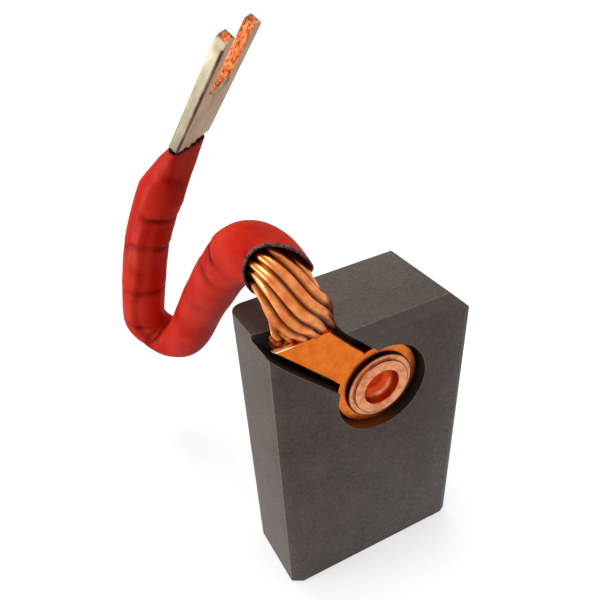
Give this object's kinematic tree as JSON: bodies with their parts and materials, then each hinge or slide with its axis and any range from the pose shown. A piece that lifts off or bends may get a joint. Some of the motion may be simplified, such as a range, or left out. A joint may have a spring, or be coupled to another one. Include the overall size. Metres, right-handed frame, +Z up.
{
  "type": "carbon brush",
  "caption": "Rectangular graphite brush with a riveted copper connector in its front face, a sleeved stranded copper shunt and a slotted terminal.",
  "frame": {"origin": "centre of the running face, the block's bottom, which rides on the commutator", "axes": "+Z up the block's length towards the spring's face, +X to the right along the block's width, -Y out of the front face that holds the connector"},
  "size_m": [0.0656, 0.0808, 0.1328],
  "materials": {
    "carbon": "matte",
    "copper": "satin",
    "rope": "satin",
    "sleeve": "satin",
    "tinned": "satin"
  },
  "bodies": {
    "root": {"carbon_block": "carbon", "connector": "copper", "washer": "copper", "rivet": "copper", "rope_root": "rope", "shunt_rope": "rope", "sleeve": "sleeve", "terminal": "tinned", "rope_tip": "rope"}
  },
  "joints": []
}
